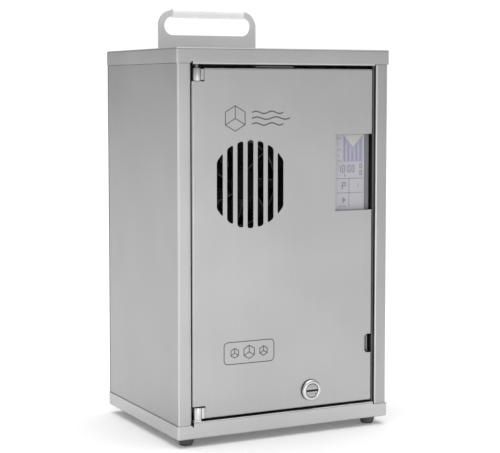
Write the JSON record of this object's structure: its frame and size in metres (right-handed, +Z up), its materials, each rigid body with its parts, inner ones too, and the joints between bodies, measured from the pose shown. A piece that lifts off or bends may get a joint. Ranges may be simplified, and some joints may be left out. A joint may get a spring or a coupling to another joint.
{
  "type": "salt generator",
  "caption": "Free-standing brushed-steel cabinet with a hinged locking door, slotted fan grille, touch display, top carry handle and four feet; salt feeder, mill and fan inside.",
  "frame": {"origin": "middle of the bounding box at floor level, under the feet", "axes": "the door faces -Y, +X is to the right of someone facing the door, +Z is up"},
  "size_m": [0.314, 0.2514, 0.5734],
  "materials": {
    "stainless_bright": "fine brushed, upright grain",
    "stainless": "fine brushed",
    "zinc_steel": "zinc plated, dull",
    "polished_chrome": "polished",
    "black_rubber": "matte",
    "black_plastic": "matte moulded",
    "grey_plastic": "satin moulded",
    "white_plastic": "satin",
    "display_face": "smooth front film over a pale lilac display",
    "filter_mat": "open fibre mat",
    "circuit_board": "green solder resist"
  },
  "bodies": {
    "cabinet": {"left_side_panel": "stainless_bright", "salt_hopper": "stainless_bright", "right_side_panel": "stainless", "top_cap": "stainless", "bottom_tray": "stainless", "rear_panel": "stainless", "handle_plate": "stainless", "process_shelf": "stainless", "feed_tube": "stainless", "drop_tube": "stainless", "mill_housing": "stainless", "mill_cover": "stainless", "rear_panel_screws": "zinc_steel", "handle_screws": "zinc_steel", "handle_nuts": "zinc_steel", "foot_screws": "zinc_steel", "upper_hinge_pin": "zinc_steel", "lower_hinge_pin": "zinc_steel", "chassis_plate": "zinc_steel", "fan_screws": "zinc_steel", "display_bracket": "zinc_steel", "board_spacers": "zinc_steel", "power_supply": "zinc_steel", "mill_screws": "zinc_steel", "hopper_lid_pin": "zinc_steel", "feed_motor": "zinc_steel", "mill_motor": "zinc_steel", "foot_front_left": "black_rubber", "foot_front_right": "black_rubber", "foot_rear_left": "black_rubber", "foot_rear_right": "black_rubber", "fan_frame": "black_plastic", "fan_duct": "black_plastic", "mains_inlet": "black_plastic", "fuse_drawer": "black_plastic", "filter_frame": "black_plastic", "wiring_loom": "black_plastic", "display_housing": "grey_plastic", "aerosol_pipe": "grey_plastic", "handle_grip": "white_plastic", "hinge_washer": "white_plastic", "display_glass": "display_face", "intake_filter": "filter_mat", "control_board": "circuit_board"},
    "door": {"door_panel": "stainless_bright", "upper_hinge_barrel": "polished_chrome", "lower_hinge_barrel": "polished_chrome", "finger_pull": "stainless", "lock_body": "polished_chrome", "lock_nut": "zinc_steel"},
    "lock": {"lock_plug": "polished_chrome", "lock_cam": "zinc_steel", "lock_cam_nut": "zinc_steel"},
    "fan": {"fan_rotor": "black_plastic"},
    "feed_screw": {"feed_screw": "polished_chrome"},
    "mill": {"mill_rotor": "polished_chrome"},
    "hopper_lid": {"hopper_lid": "stainless"},
    "rocker": {"switch_rocker": "black_plastic"}
  },
  "joints": [
    {"name": "door_hinge", "type": "hinge", "parent": "cabinet", "child": "door", "pos_m": [-0.1275, -0.1167, 0.26], "axis": [0, 0, -1], "range_deg": [0, 110]},
    {"name": "lock_turn", "type": "hinge", "parent": "door", "child": "lock", "pos_m": [0.0375, -0.115, 0.0582], "axis": [0, 1, 0], "range_deg": [0, 90]},
    {"name": "fan_spin", "type": "hinge", "parent": "cabinet", "child": "fan", "pos_m": [-0.0527, -0.09, 0.3361], "axis": [0, -1, 0], "continuous": true},
    {"name": "feeder_spin", "type": "hinge", "parent": "cabinet", "child": "feed_screw", "pos_m": [0.05, -0.0077, 0.2735], "axis": [1, 0, 0], "continuous": true},
    {"name": "mill_spin", "type": "hinge", "parent": "cabinet", "child": "mill", "pos_m": [0.015, -0.0077, 0.195], "axis": [0, 0, 1], "continuous": true},
    {"name": "hopper_lid_hinge", "type": "hinge", "parent": "cabinet", "child": "hopper_lid", "pos_m": [0.06, 0.0463, 0.41283], "axis": [-1, 0, 0], "range_deg": [0, 60]},
    {"name": "power_switch", "type": "hinge", "parent": "cabinet", "child": "rocker", "pos_m": [0.112, 0.1143, 0.062], "axis": [1, 0, 0], "range_deg": [0, 14]}
  ]
}
